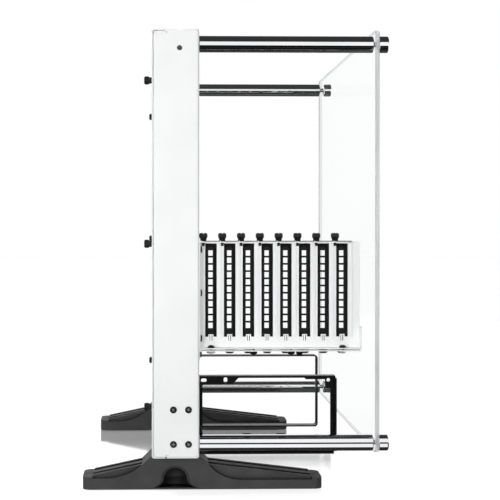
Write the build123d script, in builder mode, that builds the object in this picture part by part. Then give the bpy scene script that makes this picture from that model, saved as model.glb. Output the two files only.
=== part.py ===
"""Open-frame test bench chassis: a flat upright steel box on two moulded feet, with a clear
panel held off its face by four round posts, a slot bracket and a power supply cradle."""

import os
from math import acos, asin, cos, radians, sin, tan

from build123d import *

os.makedirs("parts", exist_ok=True)

# Driving dimensions in millimetres. X runs out of the wall box towards the clear panel,
# Y along the wall box from the slot end to the port end, Z up from the floor.

# Upright wall box
wall_length = 470.0
wall_height = 460.5
wall_depth = 51.0
sheet = 1.2  # painted steel of the box, its cover and the slot bracket
bend_radius = 2.4  # outside of a fold
cover_lap = 14.5  # folded edge of the rear cover along the top and bottom
seam = 0.5  # open line between two sheets that meet
lap_gap = 1.4  # open line at the end of the rear cover's folded edges
flap_seam = 0.3  # line between an end wall and the bottom
fold_relief = 2.4  # notches where the folds of an end wall end
fold_relief_inset = 0.8  # centre of the round notch from the stepped edge
rear_notch = (3.0, 2.4)
corner_relief = 1.5
flange_width = 24.0  # inner edge that the rear cover is screwed to
tie_hole = 5.5  # plain hole near the top of each end wall
tie_drop = 20.0
tie_inset = 21.0

# Feet
foot_height = 40.5  # floor to the underside of the box
foot_width = 45.0
foot_inset = 26.0  # end of the box to the outer face of a foot
foot_rear_reach = 76.3  # beyond the rear cover
foot_front_reach = 136.2  # beyond the face of the box
foot_cap_length = 11.3
foot_rear_cap = 15.0  # heights of the plain end caps
foot_front_cap = 13.0
foot_cap_step = 1.8  # rise from a cap to its arm
foot_root = 28.2  # height where the arms meet the column
foot_saddle_inset = 1.3  # column top within the box on each side
foot_rear_band = 13.4  # height of the proud band along the foot
foot_front_band = 11.6
foot_rear_sweep = 61.0  # radius of the sweep from the band to the column
foot_front_sweep = 46.0
foot_face_proud = 3.0
foot_end_radius = 9.0
foot_groove_width = 8.5
foot_groove_depth = 6.0
foot_groove_spacing = 20.0
arch_width = 25.6
arch_spring = 14.0
arch_rise = 11.0
arch_base_width = 47.0
arch_depth = 14.0
arch_floor = 3.2
arch_lip = 2.2
arch_lip_depth = 1.2
arch_hollow_height = 9.6  # deeper part at the base of the recess
arch_hollow_depth = 19.0
pad_relief = 1.3  # foot body above the floor
pad_recess = 1.0
pad_width = 33.0
pad_rear_length = 58.5
pad_front_length = 107.0
pad_end_margin = 10.5
pad_corner = 4.0

# Foot brackets inside the box
bracket_sheet = 2.0
bracket_height = 60.0
bracket_reach = 66.0
bracket_margin = 4.0  # bracket edge behind the face sheet
bracket_clearance = 0.5  # bracket edge from the stepped floor
foot_screw_spacing = 16.2
foot_screw_rows = 37.1
foot_screw_low = 15.1  # lower row above the underside of the box
foot_screw_inset = 11.7  # front column behind the face of the box
foot_bolt_spacing = 26.0
foot_bolt_grip = 9.0  # bolt in the foot
bore_spare = 1.0  # bore beyond the end of a bolt or stud

# Posts, clear panel and knobs
post_diameter = 18.0
panel_room = 14.8  # end of the posts beyond the slot bracket
post_inset = 14.0  # post axis from the edges of the box
post_bevel = 0.6
panel_thickness = 5.0
panel_end_gap = 2.0  # panel within each end of the box
panel_low_gap = 4.7  # panel above the underside of the box
panel_corner = 4.0
washer_thickness = 0.5
washer_diameter = 13.0
knob_diameter = 18.0
knob_length = 10.7
knob_bevel = 1.6
stud_diameter = 5.0
stud_length = 20.0
post_bolt_diameter = 6.0
post_bolt_head = 10.0
post_bolt_head_height = 4.0
post_bolt_crown = 2.6
post_bolt_length = 14.0
bore_clearance = 0.1  # radial room round a shank

# Slot bracket, covers and their screws
slot_count = 8
slot_pitch = 20.32
slot_width = 12.5
slot_height = 101.0
slot_first = 12.9  # first slot centre from the face of the box
slot_rise = 12.7  # underside of the slots above the bracket's
slot_free_end = 19.06  # bracket edge beyond the last slot centre
slot_plate_inset = 10.5  # bracket face from the slot end of the box
slot_plate_rise = 116.9  # bracket above the underside of the box
slot_plate_height = 115.9
slot_flange_end = 12.4  # top edge left plain at the free end
slot_flange_inset = 1.0  # folded edges from the slot end of the box
slot_rib_width = 2.4
slot_rib_height = 0.5
slot_tail_width = 2.8  # slit for the end of a card's bracket
slot_tail_drop = 4.4  # below the slot
slot_tail_top = 1.7  # above the underside of the slot
slot_lip_width = 5.6  # raised edge round the top of the slit
slot_lip_height = 2.7
slot_corner_hole = 1.8  # small hole in the free lower corner
slot_corner_inset = 3.4
slot_tab_height = 24.0
slot_tab_length = 8.0
shelf_drop = 11.0  # bracket foot below its shelf
holder_reach = 12.0  # part of the bracket foot behind the plate
holder_screw_drops = (8.6, 55.4, 104.3)  # below the top of the bracket
holder_screw_inset = 5.0  # screws from the folded edge
holder_low_drop = 5.7  # lowest screw below the shelf
cover_sheet = 0.8
cover_width = 18.4
cover_tongue = 10.2
cover_tongue_tip = 3.0
cover_bead_width = 11.4
cover_bead_margin = 0.6  # bead ends within the slot
cover_bead_depth = 1.8
cover_bead_slope = 45.0
cover_bead_shift = 0.4  # bead and vents beside the middle of the cover
cover_tail_slot = (1.4, 6.4)  # open line behind the slit of the plate
cover_vent_width = 4.7
cover_vent_height = 5.8
cover_vent_pitch = 7.85
cover_vents = 11
cover_vent_rise = 9.2  # first vent above the underside of the slot
cover_screw_offset = 8.4  # screw left of its slot
cover_notch = 2.1

# Power supply cradle
supply_width = 150.0
supply_height = 86.0
supply_drop = 1.0  # supply below the underside of the box
cradle_sheet = 1.5
cradle_inset = 37.0  # cradle face from the slot end of the box
cradle_lip = 10.0
cradle_margin = 2.0  # frame beyond the supply at the free side
cradle_side = 4.6  # bar along the box
cradle_free_side = 5.8
cradle_top = 10.3
cradle_rail = 3.6
cradle_corner_rail = 5.2
cradle_lug_width = 11.6
cradle_lug_height = 14.6
cradle_bottom = 19.6
cradle_bump_width = 10.0
cradle_bump_height = 1.6
cradle_bumps = (53.4, 91.0)  # from the face of the box
cradle_block = 37.9  # deep end of the top bar
cradle_chamfer = 6.6
cradle_rail_end = 117.5
cradle_corner = 3.0
supply_hole = 4.0
supply_hole_edge = 6.0
supply_hole_low = 16.0
supply_hole_pair = 24.0
supply_slot_stretch = 2.4
cradle_screws = (75.0, 26.2)  # above the supply's underside
cradle_screw_inset = 5.5
strap_width = 15.0
strap_clearance = 0.4
strap_side_room = 3.7  # beyond the supply at the free side
strap_offset = 176.0  # behind the cradle face
strap_corner = 4.0
strap_flange = 14.0
strap_step = 3.0  # run of the step up to the underside of the box
strap_knob_offset = 133.0
strap_knob_collar = 0.9

# Fasteners
thumb_head = 8.9
thumb_head_height = 5.7
thumb_collar = 6.7
thumb_collar_height = 2.75
thumb_slot = 1.1
thumb_slot_depth = 0.9
thumb_shank = 3.0
thumb_cone = 1.7  # tapered part between collar and head
thumb_bevel = 1.5
thumb_grip = 3.6  # shank beyond the sheets it holds
pan_head = 7.4
pan_height = 2.2
pan_crown = 1.4  # round part of the height
pan_recess = 1.0
pan_shank = 4.0
small_head = 7.2
small_height = 2.2
small_crown = 0.6
lock_head = 7.6
lock_height = 3.2
lock_crown = 2.1
small_shank = 3.0
screw_grip = 2.0  # shank of a small screw beyond the sheets
nut_width = 5.5
nut_height = 2.4
nut_grip = 0.4
dome_head = 8.6
dome_height = 4.4
dome_crown = 2.9
dome_grip = 0.8
cover_screw_spacing = 177.0  # rear cover screws above and below the middle
cover_screw_inset = 15.0

# Board holes in the face of the box, and the openings round the board
board_rear = 25.0  # board edge from the slot end of the box
board_top = 28.0  # board edge below the top of the box
board_hole_rear = 6.35
board_hole_top = 10.16
board_columns = (0.0, 154.94, 227.33)
board_rows = (0.0, 157.48, 281.94)
board_width = 243.84
board_hole = 3.2  # takes the board's standoffs
socket_window = (120.0, 118.0)
socket_centre = (85.0, 88.0)  # from the board's rear and top edges
cable_slot = (25.0, 70.0)
cable_slot_gap = 12.0  # beyond the free edge of the board
cable_slot_pitch = 96.0
low_slot = (62.0, 22.0)
low_slot_rise = 18.5  # slot centres above the supply
low_slot_offset = 60.0  # each side of the strap
opening_corner = 6.0
fan_slot = (25.0, 5.0)
fan_columns = 115.0
fan_inset = 85.0  # fan column from the port end of the box
fan_rows = (-172.5, -67.5, -52.5, 52.5, 67.5, 172.5)

# Port module in the far end wall
port_rise = 59.25  # middle of the module above the middle of the box
port_window = (20.0, 114.0)
port_face = (26.0, 121.0)
port_face_thickness = 1.6
port_corner = 2.0
port_edge = 0.5
port_clearance = 0.25
port_liner = 1.5
port_liner_depth = 5.0
port_leg = 5.0
port_leg_length = 15.0
port_board_thickness = 1.6
usb_size = (13.1, 5.7)
usb_length = 14.0
usb_wall = 0.4
usb_tongue = (11.0, 1.8)
usb_tongue_rise = 0.8
usb_heights = (12.0, -1.5, -15.0, -28.5)
jack_diameter = 6.0
jack_bore = 3.6
jack_heights = (-38.0, -46.5)
power_diameter = 12.4
power_height = 43.0
reset_diameter = 5.0
reset_height = 27.0
button_clearance = 0.3
button_proud = 0.4
button_edge = 0.4
button_rim = 1.2
button_rim_height = 1.2
button_seat = 0.2
button_travel = 1.5
button_stem = 3.0
button_stop = 0.3  # room left under a pressed button
switch_size = 6.0
switch_height = 4.0
switch_plunger = 3.4
switch_plunger_height = 1.4
board_screw_head = 4.0
board_screw_height = 1.6
board_screw_crown = 1.0
board_screw_shank = 2.0
board_screw_length = 8.0

# Places that follow from the sizes
slot_plate_reach = slot_first + (slot_count - 1) * slot_pitch + slot_free_end
post_length = slot_plate_reach + panel_room
overall_width = (
    foot_rear_reach + wall_depth + post_length + 2 * washer_thickness + panel_thickness + knob_length
)
x_foot_rear = -overall_width / 2
x_rear = x_foot_rear + foot_rear_reach
x_face = x_rear + wall_depth
x_middle = (x_rear + x_face) / 2
x_box_rear = x_rear + sheet + seam
x_post_end = x_face + post_length
x_panel = x_post_end + washer_thickness
x_knob = x_panel + panel_thickness + washer_thickness
y_end = wall_length / 2
z_low = foot_height
z_top = foot_height + wall_height
z_middle = (z_low + z_top) / 2
panel_length = wall_length - 2 * panel_end_gap
panel_height = wall_height - panel_low_gap
box_depth = x_face - x_box_rear
lap_step = sheet + seam
post_places = [
    (y, z)
    for y in (-y_end + post_inset, y_end - post_inset)
    for z in (z_low + post_inset, z_top - post_inset)
]
y_foot = y_end - foot_inset - foot_width / 2


def thumbscrew(shank_length, collar_height=thumb_collar_height):
    """Slotted thumbscrew seated on Z = 0 with its head up."""
    with BuildPart() as screw:
        with BuildSketch(Plane.XZ):
            with BuildLine():
                Polyline(
                    (0, -shank_length),
                    (thumb_shank / 2, -shank_length),
                    (thumb_shank / 2, 0),
                    (thumb_collar / 2, 0),
                    (thumb_collar / 2, collar_height - thumb_cone / 2),
                    (thumb_head / 2, collar_height + thumb_cone / 2),
                    (thumb_head / 2, collar_height + thumb_head_height - thumb_bevel),
                    (thumb_head / 2 - thumb_bevel, collar_height + thumb_head_height),
                    (0, collar_height + thumb_head_height),
                    close=True,
                )
            make_face()
        revolve(axis=Axis.Z)
        with Locations((0, 0, collar_height + thumb_head_height)):
            Box(
                thumb_slot,
                2 * thumb_head,
                2 * thumb_slot_depth,
                mode=Mode.SUBTRACT,
            )
    return screw.part


def domed_screw(head, height, crown, shank, shank_length, recess=0.0):
    """Round-headed screw seated on Z = 0, with a cross recess where one is asked for."""
    dome = ((head / 2) ** 2 + crown**2) / (2 * crown)
    half_turn = asin(head / 2 / dome) / 2
    on_dome = (dome * sin(half_turn), height - dome + dome * cos(half_turn))
    with BuildPart() as screw:
        with BuildSketch(Plane.XZ):
            with BuildLine():
                Polyline(
                    (0, height),
                    (0, -shank_length),
                    (shank / 2, -shank_length),
                    (shank / 2, 0),
                    (head / 2, 0),
                    (head / 2, height - crown),
                )
                ThreePointArc((head / 2, height - crown), on_dome, (0, height))
            make_face()
        revolve(axis=Axis.Z)
        if recess:
            with Locations((0, 0, height)):
                Box(0.55 * head, recess, 1.1 * height, mode=Mode.SUBTRACT)
                Box(recess, 0.55 * head, 1.1 * height, mode=Mode.SUBTRACT)
    return screw.part


def facing(points, rotation):
    """Locations of fasteners that share one direction."""
    return [Location(point, rotation) for point in points]


to_rear = (0, -90, 0)
to_panel = (0, 90, 0)
to_near = (90, 0, 0)
to_far = (-90, 0, 0)
upright = (0, 0, 0)
hanging = (180, 0, 0)

# Foot bracket places are shared by the box, the bracket and the foot.
x_foot_screws = (x_face - foot_screw_inset, x_face - foot_screw_inset - foot_screw_spacing)
z_foot_screws = (z_low + foot_screw_low, z_low + foot_screw_low + foot_screw_rows)
foot_screw_points = [(x, z) for x in x_foot_screws for z in z_foot_screws]
x_step = x_rear + cover_lap + lap_gap  # where the top and bottom of the box step in
x_bracket = (x_step + sheet + bracket_clearance, x_face - sheet - bracket_margin)
x_foot_bolt = (x_bracket[0] + x_bracket[1]) / 2
y_foot_bolts = (y_foot - foot_bolt_spacing / 2, y_foot + foot_bolt_spacing / 2)

port_height = z_middle + port_rise

# Board places on the face of the box
y_board = -y_end + board_rear
z_board = z_top - board_top
board_places = [
    (y_board + board_hole_rear + column, z_board - board_hole_top - row)
    for column in board_columns
    for row in board_rows
]
y_cable = y_board + board_width + cable_slot_gap + cable_slot[0] / 2
cable_places = [(y_cable, z_middle + k * cable_slot_pitch + cable_slot_pitch / 2) for k in (-1, 0, 1)]
fan_places = [
    (y_end - fan_inset + side * fan_columns / 2, z_middle + row) for side in (-1, 1) for row in fan_rows
]
z_cover_screws = (z_middle - cover_screw_spacing, z_middle, z_middle + cover_screw_spacing)
cover_screw_places = [
    (y, z) for y in (-y_end + cover_screw_inset, y_end - cover_screw_inset) for z in z_cover_screws
]

# Slot bracket places
slot_plate_low = z_low + slot_plate_rise
slot_plate_top = slot_plate_low + slot_plate_height
slot_low = slot_plate_low + slot_rise
y_flange = -y_end + slot_flange_inset
y_plate = -y_end + slot_plate_inset
y_cover = y_plate + sheet
slot_centres = [x_face + slot_first + k * slot_pitch for k in range(slot_count)]
z_slots = slot_low + slot_height / 2
x_plate_end = x_face + slot_plate_reach
x_flange_end = x_plate_end - slot_flange_end
z_shelf = slot_plate_low - sheet
y_holder_end = y_cover + holder_reach
y_slot_screw = (y_flange + y_plate) / 2
y_holder_screw = y_flange + holder_screw_inset
y_holder_low_screw = y_holder_end - holder_screw_inset
holder_screw_points = [(x_face + sheet, y_holder_screw, slot_plate_top - z) for z in holder_screw_drops]
holder_screw_points.append((x_face + sheet, y_holder_low_screw, z_shelf - holder_low_drop))
lock_screw_x = (slot_centres[0], slot_centres[-1])
shelf_screw_x = (
    (slot_centres[2] + slot_centres[3]) / 2 - slot_pitch / 4,
    (slot_centres[4] + slot_centres[5]) / 2 - slot_pitch / 4,
)

# Power supply places
supply_low = z_low - supply_drop
x_supply = x_face + supply_width
x_cradle_end = x_supply + cradle_margin
z_supply_top = supply_low + supply_height
y_cradle = -y_end + cradle_inset
y_cradle_screw = y_cradle - cradle_screw_inset
cradle_screw_points = [(x_face + cradle_sheet, y_cradle_screw, supply_low + z) for z in cradle_screws]
y_strap = y_cradle + strap_offset
y_strap_middle = y_strap + strap_width / 2
x_strap = x_supply + strap_side_room
z_strap_low = supply_low - strap_clearance
z_strap_top = z_supply_top + strap_clearance
z_low_slots = z_supply_top + low_slot_rise
strap_screw_points = [
    (x_face + cradle_sheet, y_strap_middle, z_strap_top + cradle_sheet + strap_flange / 2),
]
x_strap_step = x_face - bend_radius - strap_step
x_strap_end = x_strap_step - strap_flange
x_strap_screw = x_strap_step - strap_flange / 2

# Main box: the face, two end walls and the top and bottom are folded from one sheet. Along
# the rear the top and bottom step in by one sheet, so that the cover's edges lie flush.
with BuildPart() as box_hollow:
    with Locations((x_face - sheet - box_depth / 2, 0, z_middle)):
        Box(box_depth, wall_length - 2 * sheet, wall_height - 2 * sheet)
    front = box_hollow.faces().sort_by(Axis.X)[-1]
    fillet(front.edges(), bend_radius - sheet)
    for z_edge in (z_low + sheet, z_top - sheet):
        with Locations((x_rear, 0, z_edge)):
            Box(2 * (x_step + sheet - x_rear), wall_length, 2 * lap_step, mode=Mode.SUBTRACT)

x_fold = x_face - bend_radius
with BuildPart() as main_tray:
    with Locations((x_face - box_depth / 2, 0, z_middle)):
        Box(box_depth, wall_length, wall_height)
    front = main_tray.faces().sort_by(Axis.X)[-1]
    fillet(front.edges(), bend_radius)
    for z_edge in (z_low, z_top):
        with Locations((x_rear, 0, z_edge)):
            Box(2 * (x_step - x_rear), 2 * wall_length, 2 * lap_step, mode=Mode.SUBTRACT)
    add(box_hollow.part, mode=Mode.SUBTRACT)
    # inner edges behind the end walls, which take the rear cover's screws
    for side in (-1, 1):
        with Locations((x_box_rear + sheet / 2, side * (y_end - sheet - flange_width / 2), z_middle)):
            Box(sheet, flange_width, wall_height - 2 * (lap_step + sheet))
    with BuildSketch(Plane.YZ.offset(x_box_rear)):
        with Locations(*cover_screw_places):
            Circle(thumb_shank / 2 + bore_clearance)
    extrude(amount=2 * sheet, both=True, mode=Mode.SUBTRACT)
    # openings and holes in the face
    with BuildSketch(Plane.YZ.offset(x_face)):
        with Locations((y_board + socket_centre[0], z_board - socket_centre[1])):
            RectangleRounded(*socket_window, opening_corner)
        with Locations(*cable_places):
            RectangleRounded(*cable_slot, opening_corner)
        with Locations(*[(y_strap_middle + side * low_slot_offset, z_low_slots) for side in (-1, 1)]):
            RectangleRounded(*low_slot, opening_corner)
        with Locations(*fan_places):
            SlotOverall(*fan_slot)
        with Locations(*post_places):
            Circle(post_bolt_diameter / 2 + bore_clearance)
        with Locations(*board_places):
            Circle(board_hole / 2)
        with Locations(*[(y, z) for _, y, z in holder_screw_points + cradle_screw_points]):
            Circle(small_shank / 2 + bore_clearance)
        with Locations(*[(y, z) for _, y, z in strap_screw_points]):
            Circle(small_shank / 2 + bore_clearance)
    extrude(amount=-2 * sheet, mode=Mode.SUBTRACT)
    # screw holes of the foot brackets and the plain hole at the top of both end walls
    with BuildSketch(Plane.XZ):
        with Locations(*foot_screw_points):
            Circle(pan_shank / 2 + bore_clearance)
        with Locations((x_face - tie_inset, z_top - tie_drop)):
            Circle(tie_hole / 2)
    extrude(amount=wall_length, both=True, mode=Mode.SUBTRACT)
    # notches where the folds of the end walls end, and the line above the bottom
    for side in (-1, 1):
        with BuildSketch(Plane.XZ.offset(-side * y_end)):
            for z_lap, up in ((z_low + lap_step, 1), (z_top - lap_step, -1)):
                with Locations((x_step, z_lap + up * fold_relief_inset)):
                    Circle(fold_relief / 2)
                with Locations((x_box_rear, z_lap + up * rear_notch[1] / 2)):
                    Rectangle(*rear_notch)
            with Locations((x_fold, z_low + sheet + corner_relief / 2)):
                Circle(corner_relief / 2)
            with Locations(((x_step + x_fold) / 2, z_low + sheet + flap_seam / 2)):
                Rectangle(x_fold - x_step, flap_seam)
        extrude(amount=side * sheet, mode=Mode.SUBTRACT)
    # holes for the bolts into the feet and the screw of the strap
    with BuildSketch(Plane.XY.offset(z_low)):
        with Locations(*[(x_foot_bolt, side * y) for side in (-1, 1) for y in y_foot_bolts]):
            Circle(pan_shank / 2 + bore_clearance)
        with Locations((x_strap_screw, y_strap_middle)):
            Circle(small_shank / 2 + bore_clearance)
    extrude(amount=2 * sheet, mode=Mode.SUBTRACT)
    # window of the port module in the far end wall
    with BuildSketch(Plane.XZ.offset(-y_end)):
        with Locations((x_middle, port_height)):
            Rectangle(*port_window)
    extrude(amount=2 * sheet, mode=Mode.SUBTRACT)
main_tray.part.label = "main_tray"
export_step(main_tray.part, "parts/main_tray.step")

# Rear cover: a shallow channel that closes the box from behind.
with BuildPart() as rear_cover:
    with Locations((x_rear + cover_lap / 2, 0, z_middle)):
        Box(cover_lap, wall_length, wall_height)
    fillet(rear_cover.faces().sort_by(Axis.X)[0].edges().filter_by(Axis.Y), bend_radius)
    with BuildSketch(Plane.XZ):
        with Locations((x_rear + sheet + cover_lap / 2, z_middle)):
            RectangleRounded(cover_lap, wall_height - 2 * sheet, bend_radius - sheet)
        with Locations((x_rear + sheet + cover_lap, z_middle)):
            Rectangle(cover_lap, wall_height - 2 * sheet)
    extrude(amount=wall_length, both=True, mode=Mode.SUBTRACT)
    with BuildSketch(Plane.YZ.offset(x_rear)):
        with Locations(*cover_screw_places):
            Circle(thumb_shank / 2 + bore_clearance)
    extrude(amount=2 * sheet, mode=Mode.SUBTRACT)
rear_cover.part.label = "rear_cover"
export_step(rear_cover.part, "parts/rear_cover.step")

with BuildPart() as rear_cover_thumbscrews:
    with Locations(*facing([(x_rear, y, z) for y, z in cover_screw_places], to_rear)):
        add(thumbscrew(2 * sheet + seam + thumb_grip))
rear_cover_thumbscrews.part.label = "rear_cover_thumbscrews"
export_step(rear_cover_thumbscrews.part, "parts/rear_cover_thumbscrews.step")

# Four posts with a tapped bore in each end, and the bolts that hold them to the face.
post_names = ("post_near_low", "post_near_top", "post_far_low", "post_far_top")
for post_name, (y, z) in zip(post_names, post_places):
    with BuildPart() as post:
        with BuildSketch(Plane.YZ.offset(x_face)):
            with Locations((y, z)):
                Circle(post_diameter / 2)
        extrude(amount=post_length)
        chamfer(post.edges().filter_by(GeomType.CIRCLE), post_bevel)
        with BuildSketch(Plane.YZ.offset(x_face)):
            with Locations((y, z)):
                Circle(post_bolt_diameter / 2 + bore_clearance)
        extrude(amount=post_bolt_length, mode=Mode.SUBTRACT)
        with BuildSketch(Plane.YZ.offset(x_post_end)):
            with Locations((y, z)):
                Circle(stud_diameter / 2 + bore_clearance)
        extrude(amount=-stud_length, mode=Mode.SUBTRACT)
    post.part.label = post_name
    export_step(post.part, f"parts/{post_name}.step")

with BuildPart() as post_bolts:
    with Locations(*facing([(x_face - sheet, y, z) for y, z in post_places], to_rear)):
        add(
            domed_screw(
                post_bolt_head,
                post_bolt_head_height,
                post_bolt_crown,
                post_bolt_diameter,
                post_bolt_length - bore_spare,
            )
        )
post_bolts.part.label = "post_bolts"
export_step(post_bolts.part, "parts/post_bolts.step")

# Clear panel, its washers, and the knobs whose studs pass through into the posts
with BuildPart() as clear_panel:
    with BuildSketch(Plane.YZ.offset(x_panel)):
        with Locations((0, z_top - panel_height / 2)):
            RectangleRounded(panel_length, panel_height, panel_corner)
        with Locations(*post_places):
            Circle(stud_diameter / 2 + 2 * bore_clearance, mode=Mode.SUBTRACT)
    extrude(amount=panel_thickness)
clear_panel.part.label = "clear_panel"
export_step(clear_panel.part, "parts/clear_panel.step")

with BuildPart() as panel_washers:
    for x_washer in (x_post_end, x_panel + panel_thickness):
        with BuildSketch(Plane.YZ.offset(x_washer)):
            with Locations(*post_places):
                Circle(washer_diameter / 2)
            with Locations(*post_places):
                Circle(stud_diameter / 2 + bore_clearance, mode=Mode.SUBTRACT)
        extrude(amount=washer_thickness)
panel_washers.part.label = "panel_washers"
export_step(panel_washers.part, "parts/panel_washers.step")

knob_names = ("knob_near_low", "knob_near_top", "knob_far_low", "knob_far_top")
for knob_name, (y, z) in zip(knob_names, post_places):
    with BuildPart() as knob:
        with BuildSketch(Plane.YZ.offset(x_knob)):
            with Locations((y, z)):
                Circle(knob_diameter / 2)
        extrude(amount=knob_length)
        fillet(knob.faces().sort_by(Axis.X)[-1].edges(), knob_bevel)
        chamfer(knob.faces().sort_by(Axis.X)[0].edges(), post_bevel)
        with BuildSketch(Plane.YZ.offset(x_knob)):
            with Locations((y, z)):
                Circle(stud_diameter / 2)
        extrude(amount=-(stud_length - bore_spare))
    knob.part.label = knob_name
    export_step(knob.part, f"parts/{knob_name}.step")

# Slot holder: an angle on the face of the box whose shelf carries the slot plate.
with BuildPart() as slot_holder:
    with BuildSketch(Plane.YZ.offset(x_face)):
        with BuildLine():
            Polyline(
                (y_flange, z_shelf - sheet),
                (y_plate, z_shelf - sheet),
                (y_cover, z_shelf - sheet),
                (y_cover, z_shelf - shelf_drop),
                (y_holder_end, z_shelf - shelf_drop),
                (y_holder_end, slot_plate_top - 2 * sheet),
                (y_flange, slot_plate_top - 2 * sheet),
                close=True,
            )
        make_face()
    extrude(amount=sheet)
    with BuildSketch(Plane.XY.offset(z_shelf - sheet)):
        with Locations(((x_face + x_plate_end) / 2, (y_flange + y_plate) / 2)):
            Rectangle(x_plate_end - x_face, y_plate - y_flange)
        with Locations(*[(x, y_slot_screw) for x in lock_screw_x]):
            Circle(small_shank / 2 + bore_clearance, mode=Mode.SUBTRACT)
        with Locations(*[(x, y_slot_screw) for x in shelf_screw_x]):
            Circle(small_shank / 2 + bore_clearance, mode=Mode.SUBTRACT)
    extrude(amount=sheet)
    with BuildSketch(Plane.YZ.offset(x_face)):
        with Locations(*[(y, z) for _, y, z in holder_screw_points]):
            Circle(small_shank / 2 + bore_clearance)
    extrude(amount=2 * sheet, mode=Mode.SUBTRACT)
slot_holder.part.label = "slot_holder"
export_step(slot_holder.part, "parts/slot_holder.step")

# Slot plate: folded towards the slot end along the top, the bottom and a tab at the free edge,
# with a pressed rib beside every slot and a slit with a raised edge under it.
x_plate = x_face + sheet + seam / 2
z_slit = slot_low + (slot_tail_top - slot_tail_drop) / 2
with BuildPart() as slot_plate:
    with BuildSketch(Plane.XZ.offset(-y_plate)):
        with Locations(((x_plate + x_plate_end) / 2, (slot_plate_low + slot_plate_top) / 2)):
            Rectangle(x_plate_end - x_plate, slot_plate_top - slot_plate_low)
        with Locations(*[(x, z_slots) for x in slot_centres]):
            Rectangle(slot_width, slot_height, mode=Mode.SUBTRACT)
        with Locations(*[(x, slot_low) for x in slot_centres]):
            Rectangle(slot_lip_width, 2 * slot_lip_height)
        with Locations(*[(x, z_slit) for x in slot_centres]):
            Rectangle(slot_tail_width, slot_tail_drop + slot_tail_top, mode=Mode.SUBTRACT)
        with Locations((x_plate_end - slot_corner_inset, slot_plate_low + slot_corner_inset)):
            Circle(slot_corner_hole / 2, mode=Mode.SUBTRACT)
    extrude(amount=-sheet)
    with BuildSketch(Plane.XZ.offset(-y_plate)):
        with Locations(*[(x + slot_pitch / 2, z_slots) for x in slot_centres]):
            SlotOverall(slot_height, slot_rib_width, rotation=90)
    extrude(amount=slot_rib_height)
    with BuildSketch(Plane.XY.offset(slot_plate_top - sheet)):
        with Locations(((x_plate + x_flange_end) / 2, (y_flange + y_plate) / 2)):
            Rectangle(x_flange_end - x_plate, y_plate - y_flange)
        with Locations(*[(x - cover_screw_offset, y_slot_screw) for x in slot_centres]):
            Circle(thumb_shank / 2 + bore_clearance, mode=Mode.SUBTRACT)
    extrude(amount=sheet)
    with BuildSketch(Plane.XY.offset(slot_plate_low)):
        with Locations(((x_plate + x_plate_end) / 2, (y_flange + y_plate) / 2)):
            Rectangle(x_plate_end - x_plate, y_plate - y_flange)
        with Locations(*[(x, y_slot_screw) for x in lock_screw_x + shelf_screw_x]):
            Circle(small_shank / 2 + bore_clearance, mode=Mode.SUBTRACT)
    extrude(amount=sheet)
    with BuildSketch(Plane.YZ.offset(x_plate_end)):
        with Locations((y_plate + sheet - slot_tab_length / 2, slot_plate_low + slot_tab_height / 2)):
            Rectangle(slot_tab_length, slot_tab_height)
    extrude(amount=sheet)
slot_plate.part.label = "slot_plate"
export_step(slot_plate.part, "parts/slot_plate.step")

# Vented slot covers: the vents lie in a pressed hollow with sloping sides and round ends, a
# folded tab lies on the plate's top edge and a narrow tongue hangs below the plate.
z_shoulder = slot_plate_low + sheet
z_tongue = z_shelf - sheet - cover_tongue_tip
bead_length = slot_height - 2 * cover_bead_margin
vent_middle = slot_low + cover_vent_rise + ((cover_vents - 1) * cover_vent_pitch + cover_vent_height) / 2
bead_back = 2 * cover_sheet * tan(radians(cover_bead_slope / 2))
for number, x in enumerate(slot_centres, start=1):
    x_bead = x - cover_bead_shift
    with BuildPart() as slot_cover:
        with BuildSketch(Plane.XZ.offset(-y_cover)):
            with Locations((x, (z_shoulder + slot_plate_top + cover_sheet) / 2)):
                Rectangle(cover_width, slot_plate_top + cover_sheet - z_shoulder)
            with Locations((x, (z_tongue + z_shoulder) / 2)):
                Rectangle(cover_tongue, z_shoulder - z_tongue)
        extrude(amount=-cover_sheet)
        fillet(slot_cover.edges().filter_by(Axis.Y).group_by(Axis.Z)[0], cover_tongue_tip)
        with BuildSketch(Plane.XZ.offset(-y_cover - cover_sheet)):
            with Locations((x_bead, z_slots)):
                SlotOverall(bead_length + bead_back, cover_bead_width + bead_back, rotation=90)
        extrude(amount=-cover_bead_depth, taper=cover_bead_slope)
        with BuildSketch(Plane.XZ.offset(-y_cover)):
            with Locations((x_bead, z_slots)):
                SlotOverall(bead_length, cover_bead_width, rotation=90)
        extrude(amount=-cover_bead_depth, taper=cover_bead_slope, mode=Mode.SUBTRACT)
        with BuildSketch(Plane.XZ.offset(-y_cover)):
            with Locations((x_bead, vent_middle)):
                with GridLocations(1, cover_vent_pitch, 1, cover_vents):
                    Rectangle(cover_vent_width, cover_vent_height)
            with Locations((x, z_slit)):
                Rectangle(*cover_tail_slot)
        extrude(amount=-cover_bead_depth - 2 * cover_sheet, mode=Mode.SUBTRACT)
        with BuildSketch(Plane.XY.offset(slot_plate_top)):
            with Locations((x, (y_flange + y_cover) / 2)):
                Rectangle(cover_width, y_cover - y_flange)
            with Locations((x - cover_screw_offset, y_slot_screw)):
                Circle(cover_notch, mode=Mode.SUBTRACT)
            with Locations((x - cover_screw_offset - cover_notch, y_slot_screw)):
                Rectangle(2 * cover_notch, 2 * cover_notch, mode=Mode.SUBTRACT)
        extrude(amount=cover_sheet)
    slot_cover.part.label = f"slot_cover_{number}"
    export_step(slot_cover.part, f"parts/slot_cover_{number}.step")

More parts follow.
